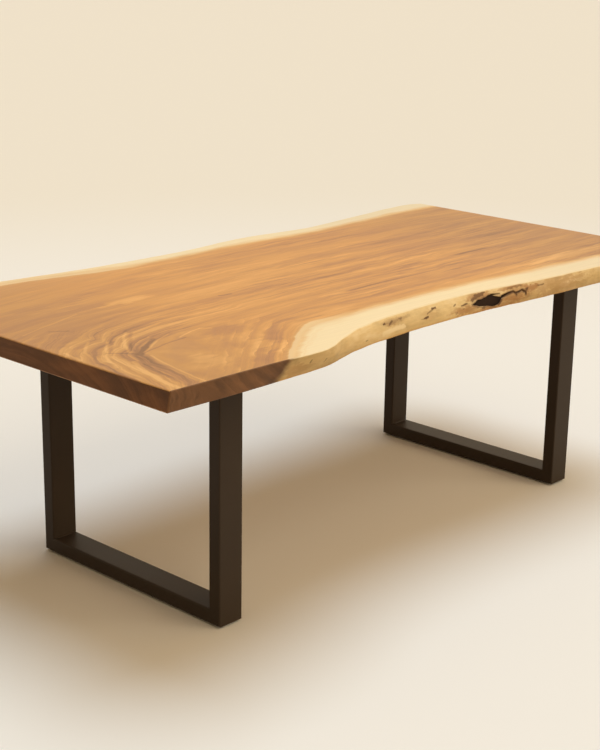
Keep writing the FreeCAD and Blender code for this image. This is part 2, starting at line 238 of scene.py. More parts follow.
def waves(seed, along, up, kind):
    """Sum of sine waves of random length, tilt and phase, about one high."""
    lengths, tilt, count = kind
    draw = np.random.default_rng(seed)
    total = np.zeros(np.broadcast(along, up).shape)
    for wave in range(count):
        turns = along / draw.uniform(*lengths) + up * draw.uniform(-tilt, tilt)
        total += np.sin(2 * math.pi * (turns + draw.uniform()))
    return total / math.sqrt(count / 2)


def ripples(seeds, along, up):
    """Slow waves with small quick ones on them."""
    slow = waves(seeds[0], along, up, SLOW_WAVES)
    quick = waves(seeds[1], along, up, QUICK_WAVES)
    return slow + QUICK_SHARE * quick


def edge_surface(points, along, share):
    """Live edge, out from the table's middle: a parabola up through underside, swell and top."""
    out, undercut, belly = (row[:, None] for row in follow(points, along))
    low = out - undercut
    middle = out - undercut / 2 + belly
    foot = low * (1 - share) * (1 - 2 * share)
    swell = 4 * middle * share * (1 - share)
    return foot + swell + out * share * (2 * share - 1)


def read_outline(points, along):
    """Straight runs between outline points in millimetres, read at places along the table."""
    places, heights = np.array(points, float).T * MM
    return np.interp(along, places, heights)


def crack_share(points, along, up):
    """Depth of a chain of tapered runs, by the distance from each run's middle line.

    It is a share of the void's. The second answer fades from one at the crack's rim to nought a few
    millimetres away."""
    total, rim = 0.0, 0.0
    chain = np.array(points) * (MM, MM, MM, 1.0)
    for start, end in zip(chain, chain[1:]):
        run, climb, widen, deepen = end - start
        onward = ((along - start[0]) * run + (up - start[1]) * climb) / (run**2 + climb**2)
        onward = np.clip(onward, 0, 1)
        apart = np.hypot(along - start[0] - onward * run, up - start[1] - onward * climb)
        half = start[2] + onward * widen
        depth = start[3] + onward * deepen
        total = np.maximum(total, smoothstep(half + CRACK_WALL, half - CRACK_WALL, apart) * depth)
        rim = np.maximum(rim, smoothstep(half + CRACK_RIM, half, apart))
    return total, rim


def void_depth(along, up, deep):
    """How far the front edge is eaten away: an almond with steep walls, and cracks that run out of it.

    The second answer fades from one at their rims to nought a few millimetres away."""
    roof = read_outline(VOID_ROOF, along)
    floor = read_outline(VOID_FLOOR, along)
    ragged = RAGGED * waves(VOID_SEED, along, up, RAGGED_WAVES)
    between_ends = np.minimum(along - VOID_START, VOID_END - along)
    inside = np.minimum(np.minimum(roof - up, up - floor), between_ends) + ragged
    share = smoothstep(*VOID_WALL, inside)
    rim = smoothstep(-VOID_RIM, 0, inside)
    crack_along = along + RAGGED_CRACKS[0] * ragged
    crack_up = up + RAGGED_CRACKS[1] * ragged
    for points in VOID_CRACKS:
        crack, crack_rim = crack_share(points, crack_along, crack_up)
        share = np.maximum(share, crack)
        rim = np.maximum(rim, crack_rim)
    return share * deep, rim


def add_piece(name, points, faces, materials, body, replaced=()):
    """Smooth mesh object at the origin that rides on a body, from an array of points and its faces."""
    mesh = bpy.data.meshes.new(name)
    mesh.from_pydata(points.reshape(-1, 3).tolist(), [], faces)
    mesh.polygons.foreach_set("use_smooth", [True] * len(mesh.polygons))
    for material in materials:
        mesh.materials.append(material)
    mesh.validate()
    piece = bpy.data.objects.new(name, mesh)
    bpy.context.scene.collection.objects.link(piece)
    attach(piece, body)
    if replaced:
        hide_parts(*replaced)
    return piece


def sweep_faces(rings, count):
    """Quads between rings of points that each close on themselves, then the two end caps."""
    ring = np.arange(rings - 1)[:, None] * count
    step = np.arange(count)[None, :]
    after = (step + 1) % count
    quads = np.stack([ring + step, ring + count + step, ring + count + after, ring + after], axis=-1)
    faces = quads.reshape(-1, 4).tolist()
    faces.append(list(range(count)))
    faces.append(list(range(rings * count - 1, (rings - 1) * count - 1, -1)))
    return faces


# Shader maths


class Wire:
    """Output socket of a node, on which Python's operators add Math nodes to its tree."""

    def __init__(self, tree, socket=None):
        self.tree = tree
        self.socket = socket

    def node(self, kind, settings, inputs, output=0):
        """Add a node: its settings first, then the values or links of its inputs."""
        made = self.tree.nodes.new(kind)
        for name, setting in settings.items():
            if name == "stops":
                self.set_stops(made.color_ramp, setting)
            else:
                setattr(made, name, setting)
        for key, value in inputs.items():
            if isinstance(value, Wire):
                self.tree.links.new(value.socket, made.inputs[key])
            else:
                made.inputs[key].default_value = value
        return Wire(self.tree, made.outputs[output] if made.outputs else None)

    @staticmethod
    def set_stops(ramp, stops):
        while len(ramp.elements) < len(stops):
            ramp.elements.new(1.0)
        for element, (position, colour) in zip(ramp.elements, stops):
            element.position = position
            element.color = colour

    def calc(self, operation, *others):
        return self.node("ShaderNodeMath", {"operation": operation}, dict(enumerate((self, *others))))

    def __add__(self, other):
        return self.calc("ADD", other)

    def __sub__(self, other):
        return self.calc("SUBTRACT", other)

    def __mul__(self, other):
        return self.calc("MULTIPLY", other)

    def __truediv__(self, other):
        return self.calc("DIVIDE", other)

    def __pow__(self, other):
        return self.calc("POWER", other)

    def __abs__(self):
        return self.calc("ABSOLUTE")

    def __rsub__(self, other):
        return self.node("ShaderNodeMath", {"operation": "SUBTRACT"}, {0: other, 1: self})

    __radd__ = __add__
    __rmul__ = __mul__


def new_material(name):
    """Empty procedural material and the wire that adds nodes to it."""
    material = bpy.data.materials.new(name)
    material.use_nodes = True
    material.node_tree.nodes.clear()
    return material, Wire(material.node_tree)


def place(wire):
    """Object coordinates, apart."""
    vector = wire.node("ShaderNodeTexCoord", {}, {}, "Object")
    return [wire.node("ShaderNodeSeparateXYZ", {}, {"Vector": vector}, axis) for axis in "XYZ"]


def painted(wire, name):
    """Number that the mesh holds at each of its points."""
    return wire.node("ShaderNodeAttribute", {"attribute_name": name}, {}, "Fac")


def noise(at, scale, detail=2.0, rough=0.5):
    """Smooth noise about one half, with so many swings to the metre along each part of a point."""
    scaled = {axis: part * swings for axis, part, swings in zip("XYZ", at, scale)}
    vector = at[0].node("ShaderNodeCombineXYZ", {}, scaled)
    inputs = {"Vector": vector, "Scale": 1.0, "Detail": detail, "Roughness": rough}
    return at[0].node("ShaderNodeTexNoise", {}, inputs)


def swing(at, scale, detail=2.0, rough=0.5):
    """The same noise about nought."""
    return noise(at, scale, detail, rough) - 0.5


def even_noise(at, scale, detail=2.0):
    """Noise with the same scale along every part of a point."""
    return noise(at, (scale, scale, scale), detail)


def teeth(line, count, bend, power):
    """Saw teeth about nought across a line, so many to the metre, each hollowed by a power: painted
    light on each crest and painted shade after it.
    """
    return (line * count + bend).calc("FRACT") ** power - 1.0 / (1.0 + power)


def length(first, second):
    """Distance from nought of a point with these two parts."""
    return (first * first + second * second) ** 0.5


def most(wires):
    """The largest of several numbers."""
    total = wires[0]
    for other in wires[1:]:
        total = total.calc("MAXIMUM", other)
    return total


def fade(value, low, high):
    """Nought below low and one above high, or the other way round where low is the larger."""
    inputs = {"Value": value, "From Min": low, "From Max": high}
    return value.node("ShaderNodeMapRange", {"interpolation_type": "SMOOTHSTEP"}, inputs)


def blend(amount, first, second, kind="MIX"):
    """Colour that goes from the first to the second as the amount goes from nought to one."""
    settings = {"data_type": "RGBA", "blend_type": kind}
    return amount.node("ShaderNodeMix", settings, {0: amount, 6: first, 7: second}, 2)


def tint(amount, colour, by):
    """Colour multiplied by another, as far as the amount says."""
    return blend(amount, colour, opaque(by), "MULTIPLY")


def ramp(value, *stops):
    """Colour that runs through stops, each a value and its colour."""
    return value.node("ShaderNodeValToRGB", {"stops": stops}, {"Fac": value})


def spot(x, y, middle, reach, bend):
    """One at the middle of a soft ellipse in millimetres and nought outside it.

    Its outline is bent by a share of its reach."""
    along = (x - middle[0] * MM) / (reach[0] * MM) + bend
    across = (y - middle[1] * MM) / (reach[1] * MM) + bend
    return fade(along**2 + across**2, 1.0, 0.0)


def pair(x, y):
    """Point of a flat drawing, for strokes."""
    return x.node("ShaderNodeCombineXYZ", {}, {"X": x, "Y": y})


def stroke(at, start, end, half, even):
    """One along a straight run, and nought further from it than half its width."""
    run = (end[0] - start[0], end[1] - start[1], 0.0)
    away = at.node("ShaderNodeVectorMath", {"operation": "SUBTRACT"}, {0: at, 1: (*start, 0.0)})
    onward = at.node("ShaderNodeVectorMath", {"operation": "DOT_PRODUCT"}, {0: away, 1: run}, "Value")
    settings = {"operation": "DIVIDE", "use_clamp": True}
    share = at.node("ShaderNodeMath", settings, {0: onward, 1: run[0] ** 2 + run[1] ** 2})
    nearest = at.node("ShaderNodeVectorMath", {"operation": "SCALE"}, {0: run, "Scale": share})
    apart = at.node("ShaderNodeVectorMath", {"operation": "DISTANCE"}, {0: away, 1: nearest}, "Value")
    return fade(apart, half, half * even)


def drawn_line(at, points, half, even):
    """Strokes from point to point of a line in millimetres."""
    ends = [(along * MM, across * MM) for along, across in points]
    return most([stroke(at, *run, half * MM, even) for run in zip(ends, ends[1:])])


def opaque(colour):
    """The colour with full alpha, as sockets take it."""
    return (*colour[:3], 1.0)


def shift(colour, amount):
    """The colour made lighter or darker, as a shade of the same finish."""
    return tuple(min(1.0, part * amount) for part in colour[:3]) + (1.0,)


def surface(wire, material, colour, rough, bump, depth, **settings):
    """Finish the material with one principled shader, bumped by a height."""
    inputs = {"Base Color": colour, "Roughness": rough}
    inputs["Normal"] = wire.node("ShaderNodeBump", {}, {"Height": bump, "Distance": depth})
    inputs.update({name.replace("_", " "): value for name, value in settings.items()})
    shader = wire.node("ShaderNodeBsdfPrincipled", {}, inputs)
    wire.node("ShaderNodeOutputMaterial", {}, {"Surface": shader})
    return material


# Finishes

# Growth lines of the heartwood in metres: the fork of the tree, the direction of its lower limb, how
# the upper limb and the lines far from the fork rise and level out, how round the lines turn between
# the limbs, how flat the fork's zone is, and the slant of the grain
FORK = (-0.953, -0.287)
LOWER_LIMB = math.radians(-100)
LIMB_RISE = 0.115
LIMB_LEVELS = -9.1
LIMB_SLOPE = 0.03
LIMB_ROUND = 0.07
END_RISE = 0.12
END_LEVELS = -2.9
FORK_SQUEEZE = math.sqrt(0.5)
GRAIN_SLANT = 0.7

# How far the grain wanders from those lines, in metres
SWAY = 0.05
DRIFT = 0.045
DRIFT_START = 0.625
WANDER = 0.03
FLICKER_ALONG = 0.01
FLICKER = 0.008
FIGURE_WANDER = 0.016

# Zones of the heartwood in metres, each from where it starts to where it is full
NEAR_FORK = (0.5, 0.13)
NEAR_FORK_BACK = (0.03, -0.14)
SWIRL = (0.30, 0.08)
CALM_BACK = (-0.06, 0.08)
CALM_LEFT = (-0.25, -0.65)
LINED_FRONT = (0.15, -0.15)
SCALE_LIGHT_SHADE_ZONE = (0.36, 0.12)
BETWEEN_LIMBS = (0.012, -0.012)
WEDGE_REACH = (0.52, 0.32)
CLOSE_TO_SAPWOOD = (-0.34, -0.08)

# How much of a noise shows, from the value where it starts to the one where it is full
PATCHY_SHOWN = (0.36, 0.62)
LINES_SHOWN = (0.57, 0.72)
WISPS_SHOWN = (0.56, 0.74)
SCALE_LIGHT_SHADE_SHOWN = (-0.08, 0.1)
RIDGE_LIGHT_SHADE_SHOWN = (-0.1, 0.12)

# Tones outside and inside the fork, the shares of the kinds of grain, and what zones add or take
OUTER_TONE = 0.49
INNER_TONE = 0.5
CALM = 0.6
LINED = 0.75
LINED_MORE = 0.4
BROAD = 0.7
BROAD_SWIRL = 0.3
STREAK = 0.5
STREAK_MORE = 0.4
FIBRE = 0.12
LINES = 0.2
WISPS = 0.1
WISPS_SWIRL = 0.12
# The scales' and ridges' shares are painted light and shade across the figure's lines
SCALE_LIGHT_SHADE = 0.27
BANDS = 0.9
RIDGE_LIGHT_SHADE = 0.34
CLOUD = 0.5


def heartwood_tone(x, y, z, sap):
    """Lightness of the heartwood, its fibres, and the wandering point on which its figure is drawn.

    Growth lines are level lines of one field: along the table far from the fork, and at a steady
    distance from the two limbs close to it. Between the limbs they keep a steady distance from the
    sapwood."""
    here = (x, y, z)
    sway = swing(here, (1.7, 4.0, 4.0))
    drift = swing((x + DRIFT_START, y, z), (8.0, 12.0, 12.0), 3.0)
    wander = swing(here, (7.0, 15.0, 15.0), 3.0)
    flicker = swing(here, (27.0, 27.0, 27.0))
    px = x - FORK[0] + drift * DRIFT + flicker * FLICKER_ALONG
    py = y - FORK[1] + sway * SWAY + wander * WANDER + flicker * FLICKER
    right = px.calc("MAXIMUM", 0.0)
    above = py - LIMB_RISE + (right * LIMB_LEVELS).calc("EXPONENT") * LIMB_RISE + right * LIMB_SLOPE
    beside = px * math.sin(LOWER_LIMB) - py * math.cos(LOWER_LIMB)
    over = above.calc("SMOOTH_MAX", 0.0, LIMB_ROUND)
    past = beside.calc("SMOOTH_MAX", 0.0, LIMB_ROUND)
    radius = length(px, py)
    reach = length(right, py * FORK_SQUEEZE)
    near = fade(reach, *NEAR_FORK) * fade(y, *NEAR_FORK_BACK)
    straight = py - END_RISE + ((x + HALF_LENGTH) * END_LEVELS).calc("EXPONENT") * END_RISE
    line = straight + near * (length(over, past) - straight)
    along = (x - y) * GRAIN_SLANT
    grain = (along, line, z)
    swirl = fade(radius, *SWIRL)
    calm = 1.0 - fade(y, *CALM_BACK) * fade(x, *CALM_LEFT) * CALM
    lined = (LINED + fade(y, *LINED_FRONT) * LINED_MORE) * calm
    patchy = fade(noise(here, (2.6, 6.0, 3.0)), *PATCHY_SHOWN)
    broad = swing(grain, (1.8, 16.0, 5.0)) * (BROAD + swirl * BROAD_SWIRL) * calm
    streak = swing(grain, (5.5, 60.0, 14.0), 4.0, 0.62) * lined
    streak = streak * (STREAK + patchy * STREAK_MORE + swirl * STREAK_MORE)
    fibre = swing(grain, (16.0, 520.0, 90.0))
    lines = fade(noise(grain, (6.5, 125.0, 20.0)), *LINES_SHOWN) * patchy * lined
    wisps = fade(noise(grain, (8.0, 95.0, 17.0), 3.0), *WISPS_SHOWN) * (WISPS + swirl * WISPS_SWIRL)
    cloud = swing(here, (11.0, 11.0, 11.0), 3.0)
    # Painted light and shade: the figure's lines as teeth with a lit crest and shade beside it, for a
    # look of relief
    scale_light_shade = teeth(line, 26.0, drift * 1.2, 3.0) * fade(cloud, *SCALE_LIGHT_SHADE_SHOWN) * fade(radius, *SCALE_LIGHT_SHADE_ZONE)
    outer = OUTER_TONE + broad + streak + fibre * FIBRE - lines * LINES + wisps + scale_light_shade * SCALE_LIGHT_SHADE
    edges = sap + wander * WANDER + flicker * FLICKER
    close = fade(sap, *CLOSE_TO_SAPWOOD)
    bands = swing((along, edges, z), (7.0, 42.0, 14.0), 3.0, 0.6) * close
    # Painted light and shade: lines near the sapwood as teeth with a lit crest and shade beside it
    ridge_light_shade = teeth(edges, 24.0, drift * 1.5, 2.0) * close * fade(cloud, *RIDGE_LIGHT_SHADE_SHOWN)
    inner = INNER_TONE + bands * BANDS + ridge_light_shade * RIDGE_LIGHT_SHADE + cloud * CLOUD + fibre * FIBRE
    wedge = fade(above, *BETWEEN_LIMBS) * fade(beside, *BETWEEN_LIMBS) * fade(reach, *WEDGE_REACH)
    tone = outer + wedge * (inner - outer)
    drawn_x = x + drift * FIGURE_WANDER + flicker * FLICKER
    drawn_y = y + wander * FIGURE_WANDER + flicker * FLICKER
    return tone, fibre, pair(drawn_x, drawn_y)


# Figure of the heartwood in millimetres on the top: change of tone, half its width, the share of it
# that is even, and the points of its middle line
FIGURE = (
    (-0.32, 15, 0.3, ((-958, -292), (-912, -256))),
    (-0.22, 9, 0.3, ((-912, -256), (-846, -209))),
    (-0.20, 6, 0.2, ((-956, -290), (-983, -258), (-1012, -232))),
    (-0.16, 24, 0.6, ((-962, -308), (-984, -350), (-1010, -440), (-1027, -536), (-1036, -600))),
    (0.20, 5, 0.2, ((-944, -312), (-953, -345), (-976, -440), (-994, -557))),
    (0.26, 10, 0.3, ((-1010, -332), (-1049, -431), (-1066, -512), (-1078, -590))),
    (0.22, 5, 0.2, ((-938, -286), (-846, -224), (-790, -200))),
    (-0.20, 5, 0.2, ((-948, -290), (-850, -262), (-777, -254))),
    (0.24, 5, 0.2, ((-787, -244), (-735, -222), (-695, -211), (-672, -232))),
    (0.20, 7, 0.2, ((-1080, -168), (-1093, -236))),
    (0.22, 8, 0.2, ((-1027, -244), (-1055, -300), (-1071, -342))),
    (0.20, 6, 0.2, ((-858, -120), (-900, -165), (-932, -205), (-964, -258))),
    (-0.16, 8, 0.2, ((-846, -128), (-918, -207), (-950, -258))),
    (0.18, 6, 0.2, ((-945, -156), (-991, -206), (-1025, -250), (-1049, -294))),
    (-0.14, 8, 0.2, ((-933, -162), (-979, -210), (-1013, -254))),
    (0.16, 6, 0.2, ((-980, -123), (-1042, -195), (-1086, -294))),
    (0.14, 5, 0.2, ((-1059, 26), (-948, 63), (-834, 104))),
    (-0.30, 6, 0.2, ((-426, 3), (-383, -1))),
    (-0.14, 9, 0.2, ((-988, 10), (-951, -15))),
)

# Light patches and dark dashes of the heartwood in millimetres: middle, reach, and change of tone
PATCHES = (
    ((-640, 130), (100, 30), 0.26),
    ((-660, -260), (100, 60), -0.12),
    ((-680, -440), (50, 70), 0.16),
    ((-200, 50), (500, 200), 0.06),
    ((-950, 50), (350, 260), -0.10),
    ((50, 125), (110, 7), -0.3),
    ((530, -100), (130, 9), -0.34),
    ((290, -88), (150, 8), -0.2),
    ((420, 210), (180, 9), -0.16),
    ((110, -190), (220, 8), -0.2),
    ((600, 50), (850, 300), -0.09),
    ((280, -120), (160, 50), -0.08),
    ((780, -335), (300, 45), 0.2),
    ((-360, 300), (160, 60), 0.12),
    ((-360, -310), (160, 50), 0.13),
    ((-870, -440), (60, 70), 0.14),
    ((330, 130), (180, 90), 0.07),
    ((-730, -300), (70, 50), -0.08),
)
# How far the outlines of those patches are feathered, as a share of their reach
PATCH_FEATHERS = 2.4

# Ends of the planed faces in metres along the table, each from where it starts to where it is full
LEFT_END = (-0.5, -1.0)
RIGHT_END = (0.35, 0.95)
CREAM_RIGHT = (0.2, 0.7)
NEAR_FORK_END = (-0.25, -0.5)

# Change from heartwood to sapwood in metres from its line: how ragged it is, and where each colour
# starts and is full
SAP_RAGGED = 0.04
SAP_FEATHERS = 0.02
RIM_SHIFT = 0.014
RIM_ZONE = (-0.026, 0.0)
CREAM_ZONE = (-0.012, 0.026)
GOLD_ZONE = (0.06, 0.0)
GOLD_SHOWN = (0.3, 0.7)
CRISP_RAGGED = 0.025
CRISP_START = 0.024
CRISP_ZONE = (0.0, 0.004)
CRISP_END = (0.04, 0.01)
GROWTH_LINE_OFFSET = 0.004
GROWTH_LINE_HALF = 0.005

# Strengths of those colours, the sheen of oiled wood, and its roughness with the fibres' share in it
GOLD = 0.6
CREAM_TINT = 0.45
RIM = 0.8
CRISP = 0.45
GROWTH_LINE = 0.35
OILED_SHEEN = 0.22
PLANED_ROUGH = 0.46
FIBRE_ROUGH = 0.12
FIBRE_DEPTH = 0.2 * MM


def planed_wood(slab):
    """Oiled planed faces: streaked heartwood and, along the live edges, cream sapwood.

    The heartwood is rosy towards the left end and brown towards the right."""
    material, wire = new_material("planed_wood")
    here = place(wire)
    x, y, z = here
    sap = painted(wire, "sapwood")
    tone, fibre, drawn = heartwood_tone(x, y, z, sap)
    feathers = swing(here, (7.0, 50.0, 30.0), 3.0, 0.6) * PATCH_FEATHERS
    for middle, reach, change in PATCHES:
        tone = tone + spot(x, y, middle, reach, feathers) * change
    for change, half, even, points in FIGURE:
        tone = tone + drawn_line(drawn, points, half, even) * change
    dark, heart, light = opaque(slab.heart_dark), opaque(slab.heartwood), opaque(slab.heart_light)
    wood = ramp(tone, (0.1, shift(dark, 0.62)), (0.32, dark), (0.54, heart), (0.84, light))
    wood = tint(fade(x, *RIGHT_END), wood, slab.right_tint)
    wood = tint(fade(x, *LEFT_END), wood, slab.left_tint)
    near_fork = fade(x, *NEAR_FORK_END)
    ragged = swing(here, (6.0, 16.0, 16.0), 5.0, 0.6)
    inward = sap + ragged * SAP_RAGGED + swing(here, (9.0, 110.0, 60.0), 3.0) * SAP_FEATHERS
    vein = noise(here, (5.0, 130.0, 60.0), 3.0)
    cream = blend(vein, shift(slab.sapwood, 0.92), shift(slab.sapwood, 1.05))
    layers = noise((x - y, inward, z), (5.0, 80.0, 20.0))
    golden = fade(layers, *GOLD_SHOWN) * fade(inward, *GOLD_ZONE) * near_fork
    cream = blend(golden * GOLD, cream, opaque(slab.sapwood_rim))
    cream = tint(fade(x, *CREAM_RIGHT) * CREAM_TINT, cream, slab.right_tint)
    rim = fade(inward + near_fork * RIM_SHIFT, *RIM_ZONE)
    wood = blend(rim * RIM, wood, opaque(slab.sapwood_rim))
    wood = blend(fade(inward, *CREAM_ZONE), wood, cream)
    start = sap + ragged * CRISP_RAGGED + CRISP_START
    crisp = fade(start, *CRISP_ZONE) * fade(start, *CRISP_END) * near_fork
    wood = blend(crisp * CRISP, wood, shift(slab.sapwood, 0.94))
    growth_line = fade(abs(start + GROWTH_LINE_OFFSET), GROWTH_LINE_HALF, 0.0) * near_fork
    wood = blend(growth_line * GROWTH_LINE, wood, dark)
    rough = PLANED_ROUGH + fibre * FIBRE_ROUGH
    return surface(wire, material, wood, rough, fibre, FIBRE_DEPTH, Specular_IOR_Level=OILED_SHEEN)


# Marks of the front live edge: half width in millimetres, strength, and the points of its line in
# millimetres along the edge and above the underside
EDGE_MARKS = (
    (4.4, 1.0, ((-285, 39.5), (-276, 40.7))),
    (5.0, 0.85, ((-256, 37), (-244, 41))),
    (4.4, 0.65, ((-215, 41.6), (-202, 41.3))),
    (4.6, 1.0, ((-61, 42.6), (-48, 42.3))),
    (3.4, 0.6, ((-60, 40.6), (-89, 33))),
    (3.8, 1.0, ((-106, 23.4), (-88, 25))),
    (2.6, 0.5, ((-120, 22.6), (-106, 23.4))),
    (3.4, 0.7, ((32, 34.5), (39, 36.6))),
    (3.2, 0.9, ((65, 30.1), (90, 31.7))),
    (2.0, 0.5, ((69, 20.3), (75, 21.1))),
    (2.4, 0.6, ((-373, 17.3), (-364, 17.5))),
    (4.0, 0.4, ((30, 9.6), (41, 15))),
    (4.0, 0.8, ((130, 47), (172, 49.5))),
    (8.0, 0.8, ((112, 36), (134, 43), (160, 46))),
    (6.0, 0.5, ((268, 46.5), (322, 49))),
    (9.0, 0.35, ((-280, 38), (-206, 39.5))),
    (3.4, 0.7, ((388, 39.7), (416, 40.2))),
    (6.0, 0.75, ((238, 28), (258, 34), (284, 37.5), (298, 29))),
    (6.0, 0.7, ((300, 32), (324, 36.5), (338, 26))),
    (4.0, 0.6, ((322, 34), (350, 40))),
    (5.0, 0.5, ((216, 7), (232, 18))),
    (4.0, 0.5, ((126, 14), (160, 9))),
    (1.8, 0.5, ((266, 4.4), (279, 4.1))),
    (2.0, 0.8, ((-654, 32), (-653, 38))),
    (2.0, 0.8, ((-598, 22), (-593, 29))),
)
# Soft stains of the same edge in millimetres: middle, reach, and strength
EDGE_STAINS = (
    ((-245, 39), (80, 12), 0.5),
    ((-80, 30), (50, 18), 0.3),
    ((145, 44), (70, 13), 0.9),
    ((290, 47), (75, 11), 1.0),
    ((280, 18), (100, 20), 1.0),
    ((75, 16), (75, 18), 0.9),
    ((358, 40), (50, 17), 1.3),
    ((300, 34), (75, 11), 0.8),
    ((480, 30), (170, 45), 0.55),
    ((190, 6), (110, 11), 0.9),
    ((-700, 20), (60, 24), 0.5),
)
# Pale patch of the same edge in millimetres
PALE_PATCH = ((-290, 18), (-240, 21.5), (-196, 20))
PALE_PATCH_HALF = 8.5

# Marks and stains lie on the front edge alone: how much of each shows, how far their outlines wander
# in metres along and up, and how even a mark is across its width
FRONT_SIDE = (0.0, -0.05)
STAIN_SHOWN = (0.12, 0.5)
STAIN_BEND = 1.8
MARK_SHOWN = (0.38, 0.7)
MARK_FRAY = 0.7
MARK_FULL = 0.4
MARK_WANDER = (0.02, 0.008)
MARK_FRAYED = (0.014, 0.008)
MARK_EVEN = 0.2
PALE_EVEN = 0.3

# Tinted foot of the live edges, in metres above the underside
FOOT_ZONE = (0.009, 0.001)
FOOT_UNEVEN = 0.006
FOOT = 0.8

# Sawn part of the front edge: how the heartwood's lines turn down from the top, where it ends along
# the edge in metres, and its dark shades
SAWN_ALONG = 0.8
SAWN_ACROSS = 0.5
SAWN_SAPWOOD = 0.9
SAWN_LEAN = 0.88
SAWN_WOBBLE = 0.05
SAWN_ZONE = (-0.735, -0.777)
SAWN_SHADE_ZONE = (-0.815, -0.775)
SAWN_SHADE = 0.16
SAWN_STREAK = ((-925, -540), (-860, -510))
SAWN_STREAK_HALF = 12
SAWN_STREAK_EVEN = 0.3
SAWN_STREAK_SHADE = 0.2

# Dark rim of the void, painted shade on the walls of the void and its cracks that grows with their
# depth, the pale eased edge, and the roughness and bumps of the live edges
RIM_FRAY = 0.8
RIM_SHOWN = (0.15, 0.6)
RIM_DARK = 0.9
HOLLOW_SHADE_SHOWN = (0.05, 0.6)
ARRIS_ZONE = (SLAB_THICK - 4.0 * MM, SLAB_THICK - 1.0 * MM)
ARRIS_UNEVEN = 0.004
LIVE_ROUGH = 0.52
LIVE_FIBRE_ROUGH = 0.1
LIVE_GRAIN_BUMP = 0.4
LIVE_DEPTH = 0.9 * MM


def live_edge_wood(slab):
    """Natural outside of the tree: tan and mottled, with marks, stained round the void, and with
    painted shade in the walls of the void and its cracks.

    It is brown where the front edge is sawn through heartwood."""
    material, wire = new_material("live_edge_wood")
    here = place(wire)
    x, y, z = here
    up = z - SLAB_BASE
    front = fade(y, *FRONT_SIDE)
    blotch = noise(here, (7.0, 7.0, 30.0), 3.0)
    mottle = noise(here, (22.0, 22.0, 70.0), 4.0, 0.65)
    grain = noise(here, (36.0, 36.0, 320.0), 3.0)
    fray = swing(here, (85.0, 85.0, 170.0), 3.0, 0.65)
    uneven = mottle - 0.5
    tan, pale = opaque(slab.live_edge), opaque(slab.live_edge_pale)
    tone = blotch * 0.55 + mottle * 0.35 + grain * 0.1
    bark = ramp(tone, (0.32, shift(tan, 0.66)), (0.43, shift(tan, 0.88)), (0.53, tan), (0.68, pale))
    bark = tint(fade(up + uneven * FOOT_UNEVEN, *FOOT_ZONE) * FOOT, bark, slab.edge_foot)
    bend = uneven * STAIN_BEND + fray
    stains = [spot(x, up, middle, reach, bend) * strength for middle, reach, strength in EDGE_STAINS]
    bark = tint(most(stains) * front * fade(mottle, *STAIN_SHOWN), bark, slab.stain)
    mark_x = x + uneven * MARK_WANDER[0] + fray * MARK_FRAYED[0]
    mark_up = up + uneven * MARK_WANDER[1] + fray * MARK_FRAYED[1]
    at = pair(mark_x, mark_up)
    bark = blend(drawn_line(at, PALE_PATCH, PALE_PATCH_HALF, PALE_EVEN) * front, bark, pale)
    marks = []
    for half, strength, points in EDGE_MARKS:
        marks.append(drawn_line(at, points, half, MARK_EVEN) * strength)
    mark = most(marks)
    mark = mark * fade(mottle + fray * MARK_FRAY + mark * MARK_FULL, *MARK_SHOWN)
    bark = blend(mark * front, bark, opaque(slab.marks))
    sap = painted(wire, "sapwood") + up * SAWN_SAPWOOD
    tone, fibre, drawn = heartwood_tone(x + up * SAWN_ALONG, y + up * SAWN_ACROSS, z, sap)
    slant = x - up * SAWN_LEAN + swing(here, (20.0, 20.0, 40.0)) * SAWN_WOBBLE
    streak = drawn_line(drawn, SAWN_STREAK, SAWN_STREAK_HALF, SAWN_STREAK_EVEN) * SAWN_STREAK_SHADE
    shade = fade(slant, *SAWN_SHADE_ZONE) * SAWN_SHADE + streak
    brown = opaque(slab.sawn_side)
    sawn = ramp(tone - shade, (0.2, shift(brown, 0.62)), (0.5, brown), (0.8, shift(brown, 1.35)))
    heart = fade(slant, *SAWN_ZONE) * front
    wood = blend(heart, bark, sawn)
    rim = painted(wire, "void_rim") * fade(mottle + fray * RIM_FRAY, *RIM_SHOWN) * RIM_DARK
    wood = blend(rim, wood, opaque(slab.marks))
    # Painted shade: the walls of the void and its cracks darken with their depth
    wood = blend(fade(painted(wire, "hollow"), *HOLLOW_SHADE_SHOWN), wood, opaque(slab.painted_hollow_shade))
    arris = fade(up + uneven * ARRIS_UNEVEN, *ARRIS_ZONE) * (1.0 - heart)
    wood = blend(arris, wood, shift(slab.sapwood, 0.94))
    rough = LIVE_ROUGH + fibre * LIVE_FIBRE_ROUGH
    bumps = mottle + grain * LIVE_GRAIN_BUMP
    return surface(wire, material, wood, rough, bumps, LIVE_DEPTH, Specular_IOR_Level=OILED_SHEEN)


# Saw-cut ends in metres: height of the tree's pith, how far blotches move the rings and the line of
# the sapwood, and where the sapwood starts and is full
PITH_HEIGHT = 0.25
RING_BEND = 0.05
END_SAP_UNEVEN = 0.03
END_SAP_ZONE = (-0.004, 0.012)
PORE_DEPTH = 0.3 * MM


